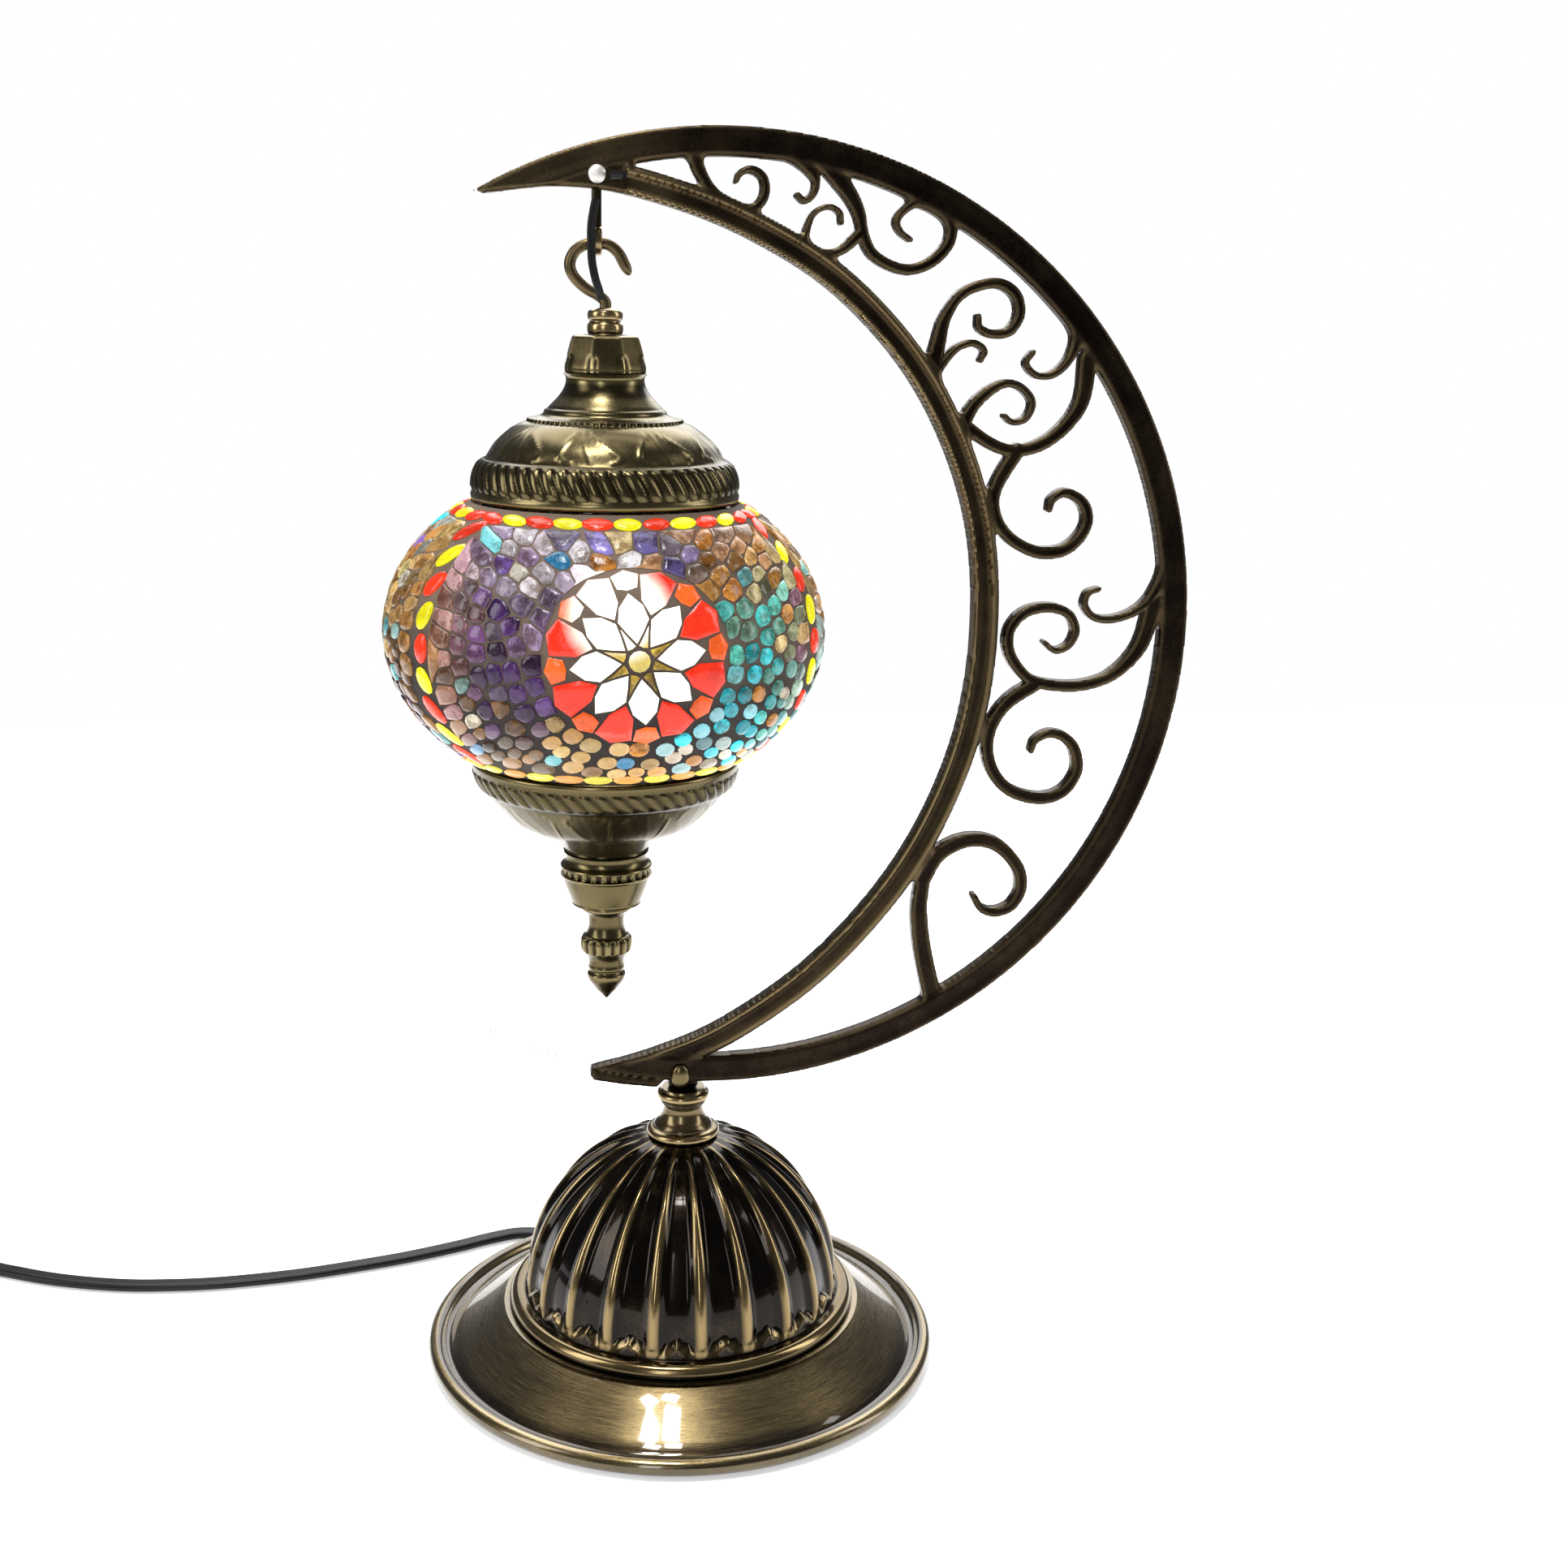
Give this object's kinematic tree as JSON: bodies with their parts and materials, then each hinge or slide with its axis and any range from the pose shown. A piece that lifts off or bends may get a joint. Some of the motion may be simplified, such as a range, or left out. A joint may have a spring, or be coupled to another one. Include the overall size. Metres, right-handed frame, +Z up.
{
  "type": "mosaic glass table lamp",
  "caption": "Table lamp: a domed round foot carries a cast crescent with scrollwork; a mosaic glass lantern hangs from a hook under its tip; corded, with in-line switch and plug.",
  "frame": {"origin": "middle of the felt pad's underside, on the table", "axes": "+Z up, +X towards the crescent's belly in the crescent's plane, +Y to the back of the lamp"},
  "size_m": [0.4554, 0.1852, 0.348],
  "materials": {
    "lacquered_brass": "glossy lacquered dark brass, fine concentric brushing",
    "cast_bronze": "cast, blackened bronze with rubbed golden edges",
    "antique_brass": "embossed antique brass, dark in the hollows",
    "steel": "plain zinc-plated steel",
    "pin_nickel": "bright nickel",
    "iron": "rough cast iron",
    "felt": "black felt",
    "phenolic": "black phenolic moulding",
    "cord_jacket": "flat twin lead in black vinyl",
    "black_plastic": "black moulded plastic, satin",
    "clear_glass": "clear blown glass",
    "mosaic": "coloured glass tiles and beads set in pale grout",
    "filament": "tungsten wire on its mount"
  },
  "bodies": {
    "stand": {"felt_pad": "felt", "base_dish": "lacquered_brass", "base_weight": "iron", "base_dome": "lacquered_brass", "stem_tube": "steel", "stem_nut": "steel", "stem_washer": "steel", "neck": "lacquered_brass", "neck_screw": "antique_brass", "crescent_frame": "cast_bronze", "hang_pin": "pin_nickel", "pin_nut": "steel", "inner_lead": "cord_jacket", "strain_relief": "black_plastic", "power_cord": "cord_jacket", "cord_middle": "cord_jacket", "cord_tail": "cord_jacket", "cord_coil": "cord_jacket", "coil_tie": "black_plastic", "switch_base": "black_plastic", "switch_cover": "black_plastic", "switch_screw_1": "steel", "switch_screw_2": "steel", "plug_body": "black_plastic", "plug_blade_1": "antique_brass", "plug_blade_2": "antique_brass"},
    "hanger": {"hanger_eye": "antique_brass", "drop_lead_upper": "cord_jacket"},
    "lantern": {"hook": "antique_brass", "drop_lead_lower": "cord_jacket", "hook_collar": "antique_brass", "cap_coupler": "antique_brass", "nipple": "steel", "cap": "antique_brass", "cap_nut": "steel", "socket_body": "phenolic", "socket_shell": "steel", "socket_contact": "steel", "globe_clip_1": "steel", "globe_clip_2": "steel", "globe_clip_3": "steel", "glass_globe": "clear_glass", "mosaic_coat": "mosaic", "lower_bowl": "antique_brass", "finial_cup": "antique_brass", "finial": "antique_brass", "finial_stud": "steel", "stud_nut": "steel"},
    "bulb": {"bulb_glass": "clear_glass", "bulb_base": "steel", "bulb_contact": "steel", "filament": "filament"},
    "rocker": {"switch_rocker": "black_plastic"}
  },
  "joints": [
    {"name": "hanger_rock", "type": "hinge", "parent": "stand", "child": "hanger", "pos_m": [-0.0245, 0, 0.335], "axis": [0, 1, 0], "range_deg": [-10, 10]},
    {"name": "hook_swing", "type": "hinge", "parent": "hanger", "child": "lantern", "pos_m": [-0.0245, 0, 0.3178], "axis": [1, 0, 0], "range_deg": [-14, 14]},
    {"name": "bulb_turn", "type": "hinge", "parent": "lantern", "child": "bulb", "pos_m": [-0.0223, 0, 0.262], "axis": [0, 0, 1], "range_deg": [0, 1260]},
    {"name": "rocker_tip", "type": "hinge", "parent": "stand", "child": "rocker", "pos_m": [-0.2525, 0.088, 0.0113], "axis": [-0.5, -0.866, 0], "range_deg": [0, 14]}
  ]
}
